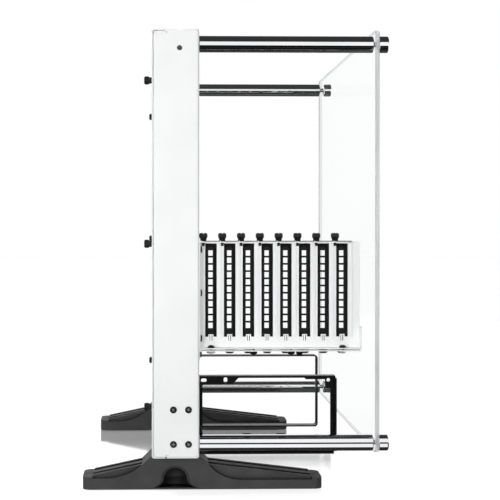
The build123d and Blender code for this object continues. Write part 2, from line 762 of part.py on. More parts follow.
z_tab_top = slot_plate_top + cover_sheet
with BuildPart() as slot_thumbscrews:
    slot_screw_points = [(x - cover_screw_offset, y_slot_screw, z_tab_top) for x in slot_centres]
    with Locations(*facing(slot_screw_points, upright)):
        add(thumbscrew(cover_sheet + sheet + thumb_grip))
slot_thumbscrews.part.label = "slot_thumbscrews"
export_step(slot_thumbscrews.part, "parts/slot_thumbscrews.step")

with BuildPart() as slot_holder_screws:
    with Locations(*facing(holder_screw_points, to_panel)):
        add(domed_screw(small_head, small_height, small_crown, small_shank, 2 * sheet + screw_grip))
slot_holder_screws.part.label = "slot_holder_screws"
export_step(slot_holder_screws.part, "parts/slot_holder_screws.step")

with BuildPart() as slot_lock_screws:
    with Locations(*[(x, y_slot_screw, slot_plate_low + sheet) for x in lock_screw_x]):
        add(domed_screw(lock_head, lock_height, lock_crown, small_shank, 2 * sheet + nut_height + nut_grip))
slot_lock_screws.part.label = "slot_lock_screws"
export_step(slot_lock_screws.part, "parts/slot_lock_screws.step")

with BuildPart() as slot_lock_nuts:
    with BuildSketch(Plane.XY.offset(z_shelf - sheet - nut_height)):
        with Locations(*[(x, y_slot_screw) for x in lock_screw_x]):
            RegularPolygon(nut_width / 2, 6, major_radius=False)
        with Locations(*[(x, y_slot_screw) for x in lock_screw_x]):
            Circle(small_shank / 2 + bore_clearance, mode=Mode.SUBTRACT)
    extrude(amount=nut_height)
slot_lock_nuts.part.label = "slot_lock_nuts"
export_step(slot_lock_nuts.part, "parts/slot_lock_nuts.step")

with BuildPart() as slot_shelf_screws:
    with Locations(*facing([(x, y_slot_screw, z_shelf - sheet) for x in shelf_screw_x], hanging)):
        add(domed_screw(dome_head, dome_height, dome_crown, small_shank, 2 * sheet + dome_grip))
slot_shelf_screws.part.label = "slot_shelf_screws"
export_step(slot_shelf_screws.part, "parts/slot_shelf_screws.step")

# Power supply cradle: a folded frame that the supply's socket end is screwed to. Its inner
# outline is deep at the box end of the top bar, thin in the middle and has a lug at the corner.
x_rail = x_face + cradle_block
x_rail_end = x_face + cradle_rail_end
x_lug = x_cradle_end - cradle_lug_width
x_free = x_cradle_end - cradle_free_side
z_bar = z_supply_top - cradle_top
z_rail = z_supply_top - cradle_rail
z_corner_rail = z_supply_top - cradle_corner_rail
z_lug = z_supply_top - cradle_lug_height
z_bottom_bar = supply_low + cradle_bottom
x_hole = x_supply - supply_hole_edge
z_hole = z_supply_top - supply_hole_edge
x_hole_box = x_face + supply_hole_edge
with BuildPart() as psu_frame:
    with BuildSketch(Plane.XZ.offset(-y_cradle)):
        with Locations(((x_face + x_cradle_end) / 2, (supply_low + z_supply_top) / 2)):
            Rectangle(x_cradle_end - x_face, supply_height)
        with BuildLine():
            Polyline(
                (x_face + cradle_side, z_bottom_bar),
                (x_face + cradle_side, z_bar),
                (x_rail, z_bar),
                (x_rail + cradle_chamfer, z_rail),
                (x_rail_end, z_rail),
                (x_rail_end + cradle_corner_rail - cradle_rail, z_corner_rail),
                (x_lug, z_corner_rail),
                (x_lug, z_lug),
                (x_free, z_lug),
                (x_free, z_bottom_bar),
                close=True,
            )
        make_face(mode=Mode.SUBTRACT)
        for bump in cradle_bumps:
            with Locations((x_face + bump, z_bottom_bar)):
                SlotOverall(cradle_bump_width, 2 * cradle_bump_height)
    extrude(amount=-cradle_sheet)
    fillet(psu_frame.edges().filter_by(Axis.Y).group_by(Axis.X)[-1], cradle_corner)
    box_corners = psu_frame.edges().filter_by(Axis.Y).group_by(Axis.X)[1]
    fillet(box_corners, cradle_corner)
    with BuildSketch(Plane.XZ.offset(-y_cradle)):
        with Locations((x_hole, z_hole), (x_hole, supply_low + supply_hole_low)):
            Circle(supply_hole / 2)
        with Locations((x_hole_box, supply_low + supply_hole_edge)):
            Circle(supply_hole / 2)
        with Locations((x_hole_box, z_hole)):
            SlotOverall(supply_hole + supply_slot_stretch, supply_hole)
        with Locations((x_hole_box + supply_hole_pair, z_hole)):
            SlotOverall(supply_hole + supply_slot_stretch, supply_hole, rotation=90)
    extrude(amount=-cradle_sheet, mode=Mode.SUBTRACT)
    # lips folded towards the slot end, and the flange that lies on the face of the box
    lip_middle = y_cradle - cradle_lip / 2
    lip_run = x_cradle_end - x_face - cradle_corner
    with Locations((x_face + lip_run / 2, lip_middle, z_supply_top - cradle_sheet / 2)):
        Box(lip_run, cradle_lip, cradle_sheet)
    with Locations((x_face + lip_run / 2, lip_middle, supply_low + cradle_sheet / 2)):
        Box(lip_run, cradle_lip, cradle_sheet)
    with Locations(
        (x_cradle_end - cradle_sheet / 2, lip_middle, (supply_low + z_supply_top) / 2)
    ):
        Box(cradle_sheet, cradle_lip, supply_height - 2 * cradle_corner)
    with Locations((x_face + cradle_sheet / 2, lip_middle, (supply_low + z_supply_top) / 2)):
        Box(cradle_sheet, cradle_lip, supply_height)
    with BuildSketch(Plane.YZ.offset(x_face)):
        with Locations(*[(y, z) for _, y, z in cradle_screw_points]):
            Circle(small_shank / 2 + bore_clearance)
    extrude(amount=cradle_sheet, mode=Mode.SUBTRACT)
psu_frame.part.label = "psu_frame"
export_step(psu_frame.part, "parts/psu_frame.step")

cradle_screw_length = sheet + cradle_sheet + screw_grip
cradle_screw = domed_screw(small_head, small_height, small_crown, small_shank, cradle_screw_length)
with BuildPart() as psu_frame_screws:
    with Locations(*facing(cradle_screw_points, to_panel)):
        add(cradle_screw)
psu_frame_screws.part.label = "psu_frame_screws"
export_step(psu_frame_screws.part, "parts/psu_frame_screws.step")

# Strap round the power supply. Its upper end turns up the face of the box, and its lower end
# steps up to the underside of the box.
with BuildPart() as psu_strap:
    with BuildSketch(Plane.XZ.offset(-y_strap_middle)):
        with BuildLine():
            Polyline(
                (x_face, z_strap_top + cradle_sheet + strap_flange),
                (x_face, z_strap_top),
                (x_strap, z_strap_top),
                (x_strap, z_strap_low),
                (x_strap_step + strap_step, z_strap_low),
                (x_strap_step, z_low),
                (x_strap_end, z_low),
                (x_strap_end, z_low - cradle_sheet),
                (x_strap_step, z_low - cradle_sheet),
                (x_strap_step + strap_step, z_strap_low - cradle_sheet),
                (x_strap + cradle_sheet, z_strap_low - cradle_sheet),
                (x_strap + cradle_sheet, z_strap_top + cradle_sheet),
                (x_face + cradle_sheet, z_strap_top + cradle_sheet),
                (x_face + cradle_sheet, z_strap_top + cradle_sheet + strap_flange),
                close=True,
            )
        make_face()
    extrude(amount=strap_width / 2, both=True)
    free_edges = psu_strap.edges().filter_by(Axis.Y)
    fillet(free_edges.group_by(Axis.X)[-1], strap_corner)
    inner_edges = psu_strap.edges().filter_by(Axis.Y).filter_by_position(
        Axis.X, x_strap - 0.01, x_strap + 0.01
    )
    fillet(inner_edges, strap_corner - cradle_sheet)
    with BuildSketch(Plane.YZ.offset(x_face)):
        with Locations(*[(y, z) for _, y, z in strap_screw_points]):
            Circle(small_shank / 2 + bore_clearance)
    extrude(amount=cradle_sheet, mode=Mode.SUBTRACT)
    with BuildSketch(Plane.XY.offset(z_strap_top)):
        with Locations((x_face + strap_knob_offset, y_strap_middle)):
            Circle(thumb_shank / 2 + bore_clearance)
    extrude(amount=cradle_sheet, mode=Mode.SUBTRACT)
    with BuildSketch(Plane.XY.offset(z_low)):
        with Locations((x_strap_screw, y_strap_middle)):
            Circle(small_shank / 2 + bore_clearance)
    extrude(amount=-cradle_sheet, mode=Mode.SUBTRACT)
psu_strap.part.label = "psu_strap"
export_step(psu_strap.part, "parts/psu_strap.step")

with BuildPart() as psu_strap_screws:
    with Locations(*facing(strap_screw_points, to_panel)):
        add(cradle_screw)
    with Locations(*facing([(x_strap_screw, y_strap_middle, z_low - cradle_sheet)], hanging)):
        add(cradle_screw)
psu_strap_screws.part.label = "psu_strap_screws"
export_step(psu_strap_screws.part, "parts/psu_strap_screws.step")

with BuildPart() as psu_strap_thumbscrew:
    with Locations((x_face + strap_knob_offset, y_strap_middle, z_strap_top + cradle_sheet)):
        add(thumbscrew(cradle_sheet + strap_clearance / 2, strap_knob_collar))
psu_strap_thumbscrew.part.label = "psu_strap_thumbscrew"
export_step(psu_strap_thumbscrew.part, "parts/psu_strap_thumbscrew.step")

# Feet: two sloping arms and a flared column, with a proud face whose band sweeps up into the
# column, an arched recess in the middle and grooves along the arms
x_foot_front = x_face + foot_front_reach
x_saddle = (x_rear + foot_saddle_inset, x_face - foot_saddle_inset)
flare = foot_height - foot_root
x_root = (x_saddle[0] - flare, x_saddle[1] + flare)
x_cap = (x_foot_rear + foot_cap_length, x_foot_front - foot_cap_length)
x_pads = (
    (x_foot_rear + pad_end_margin, x_foot_rear + pad_end_margin + pad_rear_length),
    (x_foot_front - pad_end_margin - pad_front_length, x_foot_front - pad_end_margin),
)


def sweep_points(x_start, band, radius, direction):
    """Middle and end of the round sweep from an arm's root down to its band."""
    rise = foot_root - band
    turn = acos(1 - rise / radius)
    x_tangent = x_start + direction * radius * sin(turn)
    middle = (x_tangent - direction * radius * sin(turn / 2), band + radius * (1 - cos(turn / 2)))
    return middle, (x_tangent, band)


def make_foot(y_middle):
    """One foot, centred on y_middle."""
    face_half = foot_width / 2
    core_half = face_half - foot_face_proud
    rear_mid, rear_end = sweep_points(x_root[0], foot_rear_band, foot_rear_sweep, -1)
    front_mid, front_end = sweep_points(x_root[1], foot_front_band, foot_front_sweep, 1)
    middle = Plane.XZ.offset(-y_middle)
    with BuildPart() as foot:
        with BuildSketch(middle):
            with BuildLine():
                Polyline(
                    (x_cap[0], pad_relief),
                    (x_cap[0], foot_rear_cap + foot_cap_step),
                    (x_root[0], foot_root),
                    (x_saddle[0], foot_height),
                    (x_saddle[1], foot_height),
                    (x_root[1], foot_root),
                    (x_cap[1], foot_front_cap + foot_cap_step),
                    (x_cap[1], pad_relief),
                    close=True,
                )
            make_face()
        extrude(amount=core_half, both=True)
        # proud faces on both sides
        with BuildSketch(middle):
            with BuildLine():
                Polyline(
                    rear_end,
                    (x_cap[0], foot_rear_band),
                    (x_cap[0], pad_relief),
                    (x_cap[1], pad_relief),
                    (x_cap[1], foot_front_band),
                    front_end,
                )
                ThreePointArc(front_end, front_mid, (x_root[1], foot_root))
                Polyline(
                    (x_root[1], foot_root),
                    (x_saddle[1], foot_height),
                    (x_saddle[0], foot_height),
                    (x_root[0], foot_root),
                )
                ThreePointArc((x_root[0], foot_root), rear_mid, rear_end)
            make_face()
        extrude(amount=face_half, both=True)
        # plain end caps, round in plan
        for x_inner, x_outer, height in (
            (x_cap[0], x_foot_rear, foot_rear_cap),
            (x_cap[1], x_foot_front, foot_front_cap),
        ):
            with BuildSketch(Plane.XY.offset(pad_relief)):
                with Locations(((x_inner + x_outer) / 2, y_middle)):
                    Rectangle(foot_cap_length, foot_width)
            extrude(amount=height - pad_relief)
        ends = foot.edges().filter_by(Axis.Z)
        fillet(ends.group_by(Axis.X)[0] + ends.group_by(Axis.X)[-1], foot_end_radius)
        # grooves along the arms
        for x_low, z_arm, x_high in (
            (x_cap[0], foot_rear_cap + foot_cap_step, x_root[0]),
            (x_cap[1], foot_front_cap + foot_cap_step, x_root[1]),
        ):
            for side in (-1, 1):
                with BuildSketch(Plane.XZ.offset(-y_middle - side * foot_groove_spacing / 2)):
                    with BuildLine():
                        Polyline(
                            (x_low, z_arm - foot_groove_depth),
                            (x_high, foot_root - foot_groove_depth),
                            (x_high, foot_root + foot_groove_depth),
                            (x_low, z_arm + foot_groove_depth),
                            close=True,
                        )
                    make_face()
                extrude(amount=foot_groove_width / 2, both=True, mode=Mode.SUBTRACT)
        # arched recess in both faces, inside a shallow step
        for side in (-1, 1):
            for grow, depth in ((arch_lip, arch_lip_depth), (0.0, arch_depth)):
                half = arch_width / 2 + grow
                base_half = arch_base_width / 2 + grow
                crown = arch_spring + arch_rise + grow
                knee = ((half + 0.3 * (base_half - half)), arch_floor + 0.32 * (arch_spring - arch_floor))
                with BuildSketch(Plane.XZ.offset(-y_middle - side * face_half)):
                    with BuildLine():
                        ThreePointArc(
                            (x_middle - base_half, arch_floor),
                            (x_middle - knee[0], knee[1]),
                            (x_middle - half, arch_spring),
                        )
                        ThreePointArc(
                            (x_middle - half, arch_spring),
                            (x_middle, crown),
                            (x_middle + half, arch_spring),
                        )
                        ThreePointArc(
                            (x_middle + half, arch_spring),
                            (x_middle + knee[0], knee[1]),
                            (x_middle + base_half, arch_floor),
                        )
                        Line((x_middle + base_half, arch_floor), (x_middle - base_half, arch_floor))
                    make_face()
                extrude(amount=side * depth, mode=Mode.SUBTRACT)
            with BuildSketch(Plane.XZ.offset(-y_middle - side * face_half)):
                with Locations((x_middle, arch_floor + arch_hollow_height / 2)):
                    Rectangle(arch_width, arch_hollow_height)
            extrude(amount=side * arch_hollow_depth, mode=Mode.SUBTRACT)
        # bores for the bolts from the box and shallow seats for the rubber pads
        with BuildSketch(Plane.XY.offset(foot_height)):
            with Locations(
                (x_foot_bolt, y_middle - foot_bolt_spacing / 2),
                (x_foot_bolt, y_middle + foot_bolt_spacing / 2),
            ):
                Circle(pan_shank / 2 + bore_clearance)
        extrude(amount=-foot_bolt_grip - bore_spare, mode=Mode.SUBTRACT)
        with BuildSketch(Plane.XY.offset(pad_relief)):
            for x_start, x_stop in x_pads:
                with Locations(((x_start + x_stop) / 2, y_middle)):
                    RectangleRounded(x_stop - x_start, pad_width, pad_corner)
        extrude(amount=pad_recess, mode=Mode.SUBTRACT)
    return foot


foot_near = make_foot(-y_foot)
foot_near.part.label = "foot_near"
export_step(foot_near.part, "parts/foot_near.step")

foot_far = make_foot(y_foot)
foot_far.part.label = "foot_far"
export_step(foot_far.part, "parts/foot_far.step")

for pad_name, y_middle in (("foot_pads_near", -y_foot), ("foot_pads_far", y_foot)):
    with BuildPart() as foot_pads:
        with BuildSketch(Plane.XY):
            for x_start, x_stop in x_pads:
                with Locations(((x_start + x_stop) / 2, y_middle)):
                    RectangleRounded(x_stop - x_start, pad_width, pad_corner)
        extrude(amount=pad_relief + pad_recess)
    foot_pads.part.label = pad_name
    export_step(foot_pads.part, f"parts/{pad_name}.step")

# Angles inside the box that tie its end walls to the feet
z_floor_sheet = z_low + sheet
for bracket_name, side in (("foot_bracket_near", -1), ("foot_bracket_far", 1)):
    y_wall = side * (y_end - sheet)
    with BuildPart() as foot_bracket:
        with BuildSketch(Plane.YZ.offset(x_bracket[0])):
            with BuildLine():
                Polyline(
                    (y_wall, z_floor_sheet),
                    (y_wall, z_floor_sheet + bracket_height),
                    (y_wall - side * bracket_sheet, z_floor_sheet + bracket_height),
                    (y_wall - side * bracket_sheet, z_floor_sheet + bracket_sheet),
                    (y_wall - side * bracket_reach, z_floor_sheet + bracket_sheet),
                    (y_wall - side * bracket_reach, z_floor_sheet),
                    close=True,
                )
            make_face()
        extrude(amount=x_bracket[1] - x_bracket[0])
        with BuildSketch(Plane.XZ.offset(-y_wall)):
            with Locations(*foot_screw_points):
                Circle(pan_shank / 2 + bore_clearance)
        extrude(amount=2 * bracket_sheet, both=True, mode=Mode.SUBTRACT)
        with BuildSketch(Plane.XY.offset(z_floor_sheet)):
            with Locations(*[(x_foot_bolt, side * y) for y in y_foot_bolts]):
                Circle(pan_shank / 2 + bore_clearance)
        extrude(amount=bracket_sheet, mode=Mode.SUBTRACT)
    foot_bracket.part.label = bracket_name
    export_step(foot_bracket.part, f"parts/{bracket_name}.step")

with BuildPart() as foot_screws:
    wall_screw = domed_screw(
        pan_head, pan_height, pan_crown, pan_shank, sheet + bracket_sheet + screw_grip, pan_recess
    )
    with Locations(*facing([(x, -y_end, z) for x, z in foot_screw_points], to_near)):
        add(wall_screw)
    with Locations(*facing([(x, y_end, z) for x, z in foot_screw_points], to_far)):
        add(wall_screw)
foot_screws.part.label = "foot_screws"
export_step(foot_screws.part, "parts/foot_screws.step")

foot_bolt_length = sheet + bracket_sheet + foot_bolt_grip
with BuildPart() as foot_bolts:
    z_bolt_seat = z_floor_sheet + bracket_sheet
    with Locations(*[(x_foot_bolt, side * y, z_bolt_seat) for side in (-1, 1) for y in y_foot_bolts]):
        add(domed_screw(pan_head, pan_height, pan_crown, pan_shank, foot_bolt_length))
foot_bolts.part.label = "foot_bolts"
export_step(foot_bolts.part, "parts/foot_bolts.step")

# Port module: a moulded face in the far end wall with two buttons and the sockets behind it
y_port = y_end + port_face_thickness
y_port_board = y_end - port_leg_length - port_board_thickness
z_legs = (
    port_height - port_window[1] / 2 + port_clearance + port_leg / 2,
    port_height + port_window[1] / 2 - port_clearance - port_leg / 2,
)
with BuildPart() as port_bezel:
    with BuildSketch(Plane.XZ.offset(-y_end)):
        with Locations((x_middle, port_height)):
            RectangleRounded(*port_face, port_corner)
    extrude(amount=-port_face_thickness)
    fillet(port_bezel.faces().sort_by(Axis.Y)[-1].edges(), port_edge)
    with BuildSketch(Plane.XZ.offset(-y_end)):
        with Locations((x_middle, port_height)):
            Rectangle(port_window[0] - 2 * port_clearance, port_window[1] - 2 * port_clearance)
            Rectangle(
                port_window[0] - 2 * port_clearance - 2 * port_liner,
                port_window[1] - 2 * port_clearance - 2 * port_liner,
                mode=Mode.SUBTRACT,
            )
    extrude(amount=port_liner_depth)
    with BuildSketch(Plane.XZ.offset(-y_end)):
        with Locations(*[(x_middle, z) for z in z_legs]):
            Rectangle(port_leg, port_leg)
        with Locations(*[(x_middle, z) for z in z_legs]):
            Circle(board_screw_shank / 2 + bore_clearance, mode=Mode.SUBTRACT)
    extrude(amount=port_leg_length)
    with BuildSketch(Plane.XZ.offset(-y_end)):
        with Locations((x_middle, port_height + power_height)):
            Circle(power_diameter / 2 + button_clearance)
        with Locations((x_middle, port_height + reset_height)):
            Circle(reset_diameter / 2 + button_clearance)
        with Locations(*[(x_middle, port_height + z) for z in usb_heights]):
            Rectangle(usb_size[0] + 2 * port_clearance, usb_size[1] + 2 * port_clearance)
        with Locations(*[(x_middle, port_height + z) for z in jack_heights]):
            Circle(jack_diameter / 2 + port_clearance)
    extrude(amount=-2 * port_face_thickness, mode=Mode.SUBTRACT)
port_bezel.part.label = "port_bezel"
export_step(port_bezel.part, "parts/port_bezel.step")

y_switch = y_end - port_leg_length + switch_height + switch_plunger_height
for button_name, diameter, height in (
    ("power_button", power_diameter, power_height),
    ("reset_button", reset_diameter, reset_height),
):
    with BuildPart() as button:
        with BuildSketch(Plane.XZ.offset(-y_end + button_seat)):
            with Locations((x_middle, port_height + height)):
                Circle(diameter / 2)
        extrude(amount=-(port_face_thickness + button_proud + button_seat))
        fillet(button.faces().sort_by(Axis.Y)[-1].edges(), button_edge)
        with BuildSketch(Plane.XZ.offset(-y_end + button_seat)):
            with Locations((x_middle, port_height + height)):
                Circle(diameter / 2 + button_rim)
        extrude(amount=button_rim_height)
        y_rim = y_end - button_seat - button_rim_height
        with BuildSketch(Plane.XZ.offset(-y_rim)):
            with Locations((x_middle, port_height + height)):
                Circle(button_stem / 2)
        extrude(amount=y_rim - y_switch - button_travel - button_stop)
    button.part.label = button_name
    export_step(button.part, f"parts/{button_name}.step")

with BuildPart() as port_switches:
    switch_points = [(x_middle, port_height + z) for z in (power_height, reset_height)]
    with BuildSketch(Plane.XZ.offset(-y_end + port_leg_length)):
        with Locations(*switch_points):
            Rectangle(switch_size, switch_size)
    extrude(amount=-switch_height)
    with BuildSketch(Plane.XZ.offset(-y_switch)):
        with Locations(*switch_points):
            Circle(switch_plunger / 2)
    extrude(amount=switch_plunger_height)
port_switches.part.label = "port_switches"
export_step(port_switches.part, "parts/port_switches.step")

usb_points = [(x_middle, port_height + z) for z in usb_heights]
with BuildPart() as usb_sockets:
    with BuildSketch(Plane.XZ.offset(-y_end + port_leg_length)):
        with Locations(*usb_points):
            Rectangle(*usb_size)
    extrude(amount=-(port_leg_length + port_face_thickness / 2))
    with BuildSketch(Plane.XZ.offset(-y_end - port_face_thickness / 2)):
        with Locations(*usb_points):
            Rectangle(usb_size[0] - 2 * usb_wall, usb_size[1] - 2 * usb_wall)
        with Locations(*[(x, z + usb_tongue_rise) for x, z in usb_points]):
            Rectangle(*usb_tongue, mode=Mode.SUBTRACT)
    extrude(amount=usb_length, mode=Mode.SUBTRACT)
usb_sockets.part.label = "usb_sockets"
export_step(usb_sockets.part, "parts/usb_sockets.step")

with BuildPart() as audio_sockets:
    with BuildSketch(Plane.XZ.offset(-y_end + port_leg_length)):
        with Locations(*[(x_middle, port_height + z) for z in jack_heights]):
            Circle(jack_diameter / 2)
    extrude(amount=-(port_leg_length + port_face_thickness))
    with BuildSketch(Plane.XZ.offset(-y_port)):
        with Locations(*[(x_middle, port_height + z) for z in jack_heights]):
            Circle(jack_bore / 2)
    extrude(amount=port_leg_length, mode=Mode.SUBTRACT)
audio_sockets.part.label = "audio_sockets"
export_step(audio_sockets.part, "parts/audio_sockets.step")

with BuildPart() as port_board:
    with BuildSketch(Plane.XZ.offset(-y_end + port_leg_length)):
        with Locations((x_middle, port_height)):
            Rectangle(port_window[0] - 2 * port_liner, port_window[1] - 2 * port_clearance)
        with Locations(*[(x_middle, z) for z in z_legs]):
            Circle(board_screw_shank / 2 + bore_clearance, mode=Mode.SUBTRACT)
    extrude(amount=port_board_thickness)
port_board.part.label = "port_board"
export_step(port_board.part, "parts/port_board.step")

with BuildPart() as port_board_screws:
    with Locations(*facing([(x_middle, y_port_board, z) for z in z_legs], to_near)):
        add(
            domed_screw(
                board_screw_head,
                board_screw_height,
                board_screw_crown,
                board_screw_shank,
                board_screw_length,
            )
        )
port_board_screws.part.label = "port_board_screws"
export_step(port_board_screws.part, "parts/port_board_screws.step")
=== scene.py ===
"""Looks for the open-frame test bench: materials, detailed fasteners, studio stage and camera."""

from math import cos, pi, radians, sin, sqrt

import bmesh
import bpy
from mathutils import Matrix, Vector


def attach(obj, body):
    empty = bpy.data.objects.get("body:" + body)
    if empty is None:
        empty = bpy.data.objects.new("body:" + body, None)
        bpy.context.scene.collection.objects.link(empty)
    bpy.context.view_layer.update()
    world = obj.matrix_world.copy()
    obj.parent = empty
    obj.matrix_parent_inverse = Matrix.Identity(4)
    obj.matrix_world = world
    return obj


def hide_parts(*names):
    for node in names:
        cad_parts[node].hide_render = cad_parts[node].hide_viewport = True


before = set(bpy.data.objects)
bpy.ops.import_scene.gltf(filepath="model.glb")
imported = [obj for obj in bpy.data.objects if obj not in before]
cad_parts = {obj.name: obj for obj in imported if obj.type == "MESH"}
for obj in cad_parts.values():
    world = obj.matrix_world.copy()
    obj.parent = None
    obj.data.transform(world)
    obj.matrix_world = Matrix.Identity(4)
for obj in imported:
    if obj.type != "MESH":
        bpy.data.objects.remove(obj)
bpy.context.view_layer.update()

MM = 0.001

# Places of the fasteners, in metres: a seat is the face that a screw's head rests on
SLOT_COUNT = 8
SLOT_PITCH = 20.32 * MM
SLOT_SCREW_FIRST = -34.7 * MM
SLOT_SCREW_Y = -229.25 * MM
SLOT_SCREW_SEAT = 274.1 * MM
COVER_SCREW_SEAT = -90.2 * MM
COVER_SCREW_Y = (-220.0 * MM, 220.0 * MM)
COVER_SCREW_Z = (93.75 * MM, 270.75 * MM, 447.75 * MM)
STRAP_SCREW = (93.8 * MM, -14.5 * MM, 127.4 * MM)
FOOT_SCREW_Y = 235.0 * MM
FOOT_SCREW_X = (-67.1 * MM, -50.9 * MM)
FOOT_SCREW_Z = (55.6 * MM, 92.7 * MM)
HOLDER_SCREW_SEAT = -38.0 * MM
HOLDER_SCREWS = (
    (-229.0 * MM, 264.7 * MM),
    (-229.0 * MM, 217.9 * MM),
    (-229.0 * MM, 169.0 * MM),
    (-216.3 * MM, 150.5 * MM),
)
FRAME_SCREW_SEAT = -37.7 * MM
FRAME_SCREWS = ((-203.5 * MM, 65.7 * MM), (-203.5 * MM, 114.5 * MM))
STRAP_FACE_SCREW = (-14.5 * MM, 134.4 * MM)
STRAP_LOW_SCREW = (-51.6 * MM, -14.5 * MM, 39.0 * MM)
LOCK_SCREW_X = (-26.3 * MM, 115.94 * MM)
LOCK_SCREW_SEAT = 158.6 * MM
SHELF_SCREW_X = (19.42 * MM, 60.06 * MM)
SHELF_SCREW_SEAT = 155.0 * MM

# Reach of each kind of shank below its seat
SLOT_SHANK = 5.6 * MM
COVER_SHANK = 6.5 * MM
STRAP_KNOB_SHANK = 1.7 * MM
FOOT_SHANK = 5.2 * MM
HOLDER_SHANK = 4.4 * MM
FRAME_SHANK = 4.7 * MM
LOCK_SHANK = 5.2 * MM
SHELF_SHANK = 3.2 * MM

# Thumbscrew
THUMB_HEAD = 4.45 * MM
THUMB_TOP = 8.45 * MM
THUMB_COLLAR = 3.35 * MM
THUMB_COLLAR_TOP = 1.9 * MM
THUMB_CONE_TOP = 3.6 * MM
THUMB_FLUTE_LOW = 3.8 * MM
THUMB_BEVEL = 1.5 * MM
THUMB_ROUND = ((0.30, 0.42), (0.68, 0.12), (1.10, 0.0))  # inwards and down, by the bevel
THUMB_SHANK = 1.5 * MM
THUMB_TEETH = 24
THUMB_FLUTE = 0.26 * MM
THUMB_SLOT = (1.1 * MM, 0.9 * MM)  # width and depth
STRAP_KNOB_DROP = 1.85 * MM  # the strap's thumbscrew has this much less collar

# Cross-head screws: radius, height and round part of the head, radius of the shank
PAN_SCREW = (3.7 * MM, 2.15 * MM, 1.4 * MM, 2.0 * MM)
SMALL_SCREW = (3.6 * MM, 2.2 * MM, 0.6 * MM, 1.5 * MM)
LOCK_SCREW = (3.8 * MM, 3.2 * MM, 2.1 * MM, 1.5 * MM)
DOME_SCREW = (4.3 * MM, 4.4 * MM, 2.9 * MM, 1.5 * MM)
DOME_RINGS = (1.0, 0.93, 0.82, 0.66, 0.46, 0.24, 0.08)  # by the radius of the head
CROSS = (0.25, 1.06, 0.5)  # width and length of the recess by the radius, depth by the height
SCREW_STEPS = 48
SMOOTH_ANGLE = radians(32)

BUTTONS = ("power_button", "reset_button")
# Painted shade: near-black colour laid into narrow recesses, where shade falls
PAINTED_SHADE = (0.006, 0.006, 0.006)  # colour of the recesses

# Studio light from the left, from the right, from in front and from behind
LEFT_LIGHT = (0.20, 0.20, 0.20)
RIGHT_LIGHT = (0.06, 0.06, 0.06)
FRONT_LIGHT = (0.20, 0.20, 0.20)
BACK_LIGHT = (0.15, 0.15, 0.15)
BACKDROP = (1.0, 1.0, 1.0)  # what the eye and the mirroring surfaces see around the object

# Lamps: name, place, what it points at, width and height, power in watts
LAMPS = (
    ("front_lamp", (-0.40, -1.60, 0.30), (0.0, -0.20, 0.28), (2.0, 0.40), 24.5),
    ("top_lamp", (-0.80, -0.10, 1.60), (0.0, 0.0, 0.10), (0.8, 0.8), 30.0),
    ("side_lamp", (1.40, 1.50, 0.20), (-0.04, 0.0, 0.28), (1.6, 0.4), 50.0),
)

# Stage floor and cards: ends along X, along Y and along Z, where Z rises with Y
FLOOR_ENDS = ((-30.0, 30.0), (-30.0, 9.0), (0.0, 0.0))
CEILING_ENDS = ((-0.8, 1.0), (-0.60, 0.60), (0.697, 0.90))
GROUND_ENDS = ((-0.6, 0.75), (-1.56, 2.0), (-0.022, -0.022))
FRONT_DARK_ENDS = ((-0.3, 0.5), (-0.62, -0.62), (-0.006, 0.12))
FRONT_LIGHT_ENDS = ((-25.0, 25.0), (-24.0, -24.0), (-12.0, 44.0))
LOW_LIGHT_ENDS = ((-0.05, 0.18), (-0.268, -0.268), (-0.02, 0.047))
CARD_FADE = (-0.5, 0.2)  # Y over which a card's light changes
MIRROR_FADE = (-0.20, 0.10)  # Y over which the floor turns from matt to mirror-like
MIRROR_SHARE = (0.16, 0.80)
MIRROR_SLANT = (0.70, 0.79)  # from above the floor is matt, and in a low view it mirrors

# Camera at the photograph's viewing angle
CAMERA_PLACE = (-77.0 * MM, -1504.4 * MM, 293.0 * MM)
CAMERA_TURN = (pi / 2 + radians(-0.374), 0.0, radians(-1.253))
CAMERA_SENSOR = 36.0  # in millimetres, as the lens
CAMERA_LENS = 85.234
CAMERA_SHIFT = (0.12, -0.038)


def link(tree, source, target):
    tree.links.new(source, target)


def bare_material(name):
    """New material; gives it with its tree, its surface socket and its object coordinates."""
    material = bpy.data.materials.new(name)
    material.use_nodes = True
    tree = material.node_tree
    tree.nodes.clear()
    output = tree.nodes.new("ShaderNodeOutputMaterial")
    coordinates = tree.nodes.new("ShaderNodeTexCoord")
    return material, tree, output.inputs["Surface"], coordinates.outputs["Object"]


def shaded_material(name):
    """New material with a Principled shader; gives its tree, shader and object coordinates."""
    material, tree, finish, where = bare_material(name)
    shader = tree.nodes.new("ShaderNodeBsdfPrincipled")
    link(tree, shader.outputs["BSDF"], finish)
    return material, tree, shader, where


def axis(tree, where, name):
    """One coordinate of a vector."""
    node = tree.nodes.new("ShaderNodeSeparateXYZ")
    link(tree, where, node.inputs["Vector"])
    return node.outputs[name]


def noise(tree, where, size, detail=2.0):
    """Noise whose features are about size metres wide."""
    node = tree.nodes.new("ShaderNodeTexNoise")
    node.inputs["Scale"].default_value = 1.0 / size
    node.inputs["Detail"].default_value = detail
    link(tree, where, node.inputs["Vector"])
    return node.outputs["Fac"]


def mapped(tree, where, **changes):
    """Coordinates with a Scale or Rotation set on each axis."""
    node = tree.nodes.new("ShaderNodeMapping")
    for name, amount in changes.items():
        node.inputs[name].default_value = amount
    link(tree, where, node.inputs["Vector"])
    return node.outputs["Vector"]


def remap(tree, value, start, end, low=0.0, high=1.0, smooth=False):
    """Carries start to end over to low to high, and holds the ends beyond them."""
    node = tree.nodes.new("ShaderNodeMapRange")
    if smooth:
        node.interpolation_type = "SMOOTHSTEP"
    node.inputs["From Min"].default_value = start
    node.inputs["From Max"].default_value = end
    node.inputs["To Min"].default_value = low
    node.inputs["To Max"].default_value = high
    link(tree, value, node.inputs["Value"])
    return node.outputs["Result"]


